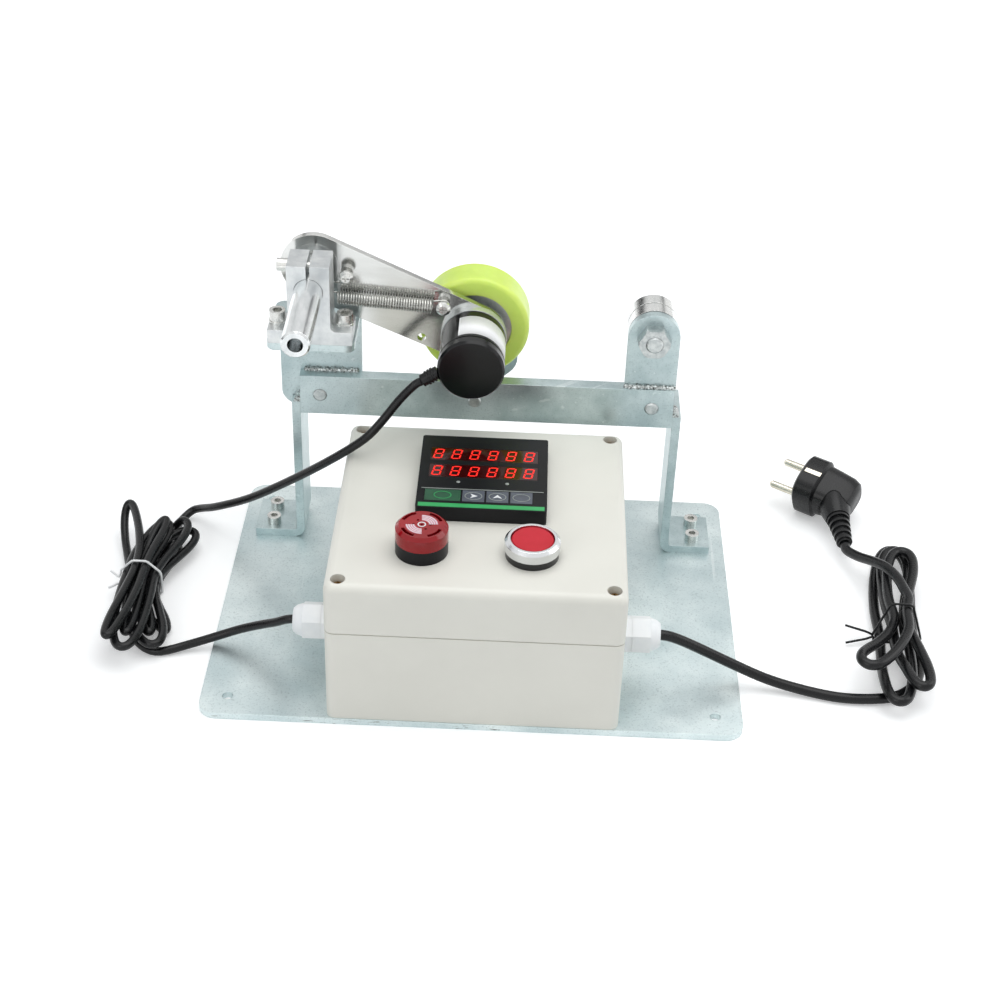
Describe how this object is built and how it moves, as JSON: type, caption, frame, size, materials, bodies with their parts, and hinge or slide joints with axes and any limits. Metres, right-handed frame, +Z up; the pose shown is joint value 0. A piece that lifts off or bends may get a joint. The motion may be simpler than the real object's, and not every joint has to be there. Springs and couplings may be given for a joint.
{
  "type": "cable length counter",
  "caption": "Bench cable length counter: sprung measuring wheel and encoder over a frame with guide rollers, control box with counter, buzzer, button and two cords.",
  "frame": {"origin": "middle of the base plate's underside, which is the surface the counter stands on", "axes": "+X to the right, +Y away from the control box's front, +Z up"},
  "size_m": [0.4883, 0.249, 0.2105],
  "materials": {
    "zinc": "satin zinc plate",
    "weld": "rough",
    "bright": "bright",
    "alloy": "satin",
    "shaft": "ground",
    "bearing": "polished",
    "polished": "polished",
    "label": "gloss",
    "black_plastic": "satin",
    "black_rubber": "matte",
    "hub": "satin",
    "yellow_green": "gloss",
    "spring_wire": "bright",
    "ivory": "satin",
    "brown_screw": "dull",
    "red_window": "gloss",
    "green_key": "satin",
    "grey_key": "satin",
    "red_lens": "gloss",
    "chromed": "satin",
    "red_cap": "satin",
    "white_nylon": "satin",
    "cord_black": "satin",
    "white_tie": "satin",
    "black_tie": "satin",
    "plug_black": "satin",
    "plug_metal": "bright"
  },
  "bodies": {
    "frame": {"base_plate": "zinc", "uprights": "zinc", "crossbar": "zinc", "weld_beads": "weld", "foot_screws": "bright", "side_plate": "zinc", "shelf_plate": "zinc", "clamp_block": "alloy", "block_screws": "bright", "pivot_shaft": "shaft", "shaft_retainer": "bright", "right_lug": "zinc", "lug_bolt": "bright", "inner_rings": "bearing", "roller_bolts": "bright", "roller_washers": "bright", "keeper_plate": "zinc", "tension_spring": "spring_wire", "enclosure_base": "ivory", "enclosure_lid": "ivory", "lid_screws": "brown_screw", "meter_case": "black_plastic", "meter_front": "black_plastic", "meter_windows": "red_window", "buzzer_base": "black_plastic", "buzzer_lens": "red_lens", "button_ring": "chromed", "panel_nuts": "black_plastic", "gland_bodies": "white_nylon", "gland_caps": "white_nylon", "sensor_cord": "cord_black", "sensor_hank": "cord_black", "sensor_tail": "cord_black", "sensor_tie": "white_tie", "power_cord": "cord_black", "power_hank": "cord_black", "plug_lead": "cord_black", "power_tie": "black_tie", "plug_body": "plug_black", "plug_contacts": "plug_metal", "plug_sleeve": "plug_black"},
    "arm": {"arm_plate": "polished", "arm_bearing": "bearing", "arm_screws": "bright", "encoder_flange": "alloy", "encoder_body": "label", "encoder_cap": "black_plastic", "encoder_boot": "black_rubber"},
    "wheel": {"wheel_hub": "hub", "wheel_tyre": "yellow_green", "encoder_shaft": "shaft"},
    "left_guide": {"left_roller": "bearing"},
    "centre_guide": {"centre_roller": "bearing"},
    "right_guide": {"right_roller": "bearing"},
    "upper_guide": {"upper_roller": "bearing"},
    "start_button": {"button_cap": "red_cap"},
    "key_one": {"key_green": "green_key"},
    "key_two": {"key_right": "grey_key"},
    "key_three": {"key_up": "grey_key"},
    "key_four": {"key_last": "grey_key"}
  },
  "joints": [
    {"name": "arm_swing", "type": "hinge", "parent": "frame", "child": "arm", "pos_m": [-0.0995, 0.061, 0.191], "axis": [0, -1, 0], "range_deg": [0, 34], "stiffness_Nm_per_rad": 0.25, "springref_deg": -34.38, "deforming": ["tension_spring", "sensor_cord"]},
    {"name": "wheel_spin", "type": "hinge", "parent": "arm", "child": "wheel", "pos_m": [-0.0085, 0.078, 0.1508], "axis": [0, 1, 0], "continuous": true},
    {"name": "left_roller_spin", "type": "hinge", "parent": "frame", "child": "left_guide", "pos_m": [-0.0982, 0.08, 0.1077], "axis": [0, 1, 0], "continuous": true},
    {"name": "centre_roller_spin", "type": "hinge", "parent": "frame", "child": "centre_guide", "pos_m": [-0.007, 0.078, 0.1077], "axis": [0, 1, 0], "continuous": true},
    {"name": "right_roller_spin", "type": "hinge", "parent": "frame", "child": "right_guide", "pos_m": [0.0972, 0.078, 0.1077], "axis": [0, 1, 0], "continuous": true},
    {"name": "upper_roller_spin", "type": "hinge", "parent": "frame", "child": "upper_guide", "pos_m": [0.0955, 0.075, 0.1535], "axis": [0, 1, 0], "continuous": true},
    {"name": "button_press", "type": "slide", "parent": "frame", "child": "start_button", "axis": [0, 0, -1], "range_m": [0, 0.003], "stiffness_N_per_m": 400, "springref_m": -0.002},
    {"name": "key_green_press", "type": "slide", "parent": "frame", "child": "key_one", "axis": [0, 0, -1], "range_m": [0, 0.0005], "stiffness_N_per_m": 300, "springref_m": -0.001},
    {"name": "key_right_press", "type": "slide", "parent": "frame", "child": "key_two", "axis": [0, 0, -1], "range_m": [0, 0.0005], "stiffness_N_per_m": 300, "springref_m": -0.001},
    {"name": "key_up_press", "type": "slide", "parent": "frame", "child": "key_three", "axis": [0, 0, -1], "range_m": [0, 0.0005], "stiffness_N_per_m": 300, "springref_m": -0.001},
    {"name": "key_last_press", "type": "slide", "parent": "frame", "child": "key_four", "axis": [0, 0, -1], "range_m": [0, 0.0005], "stiffness_N_per_m": 300, "springref_m": -0.001}
  ]
}
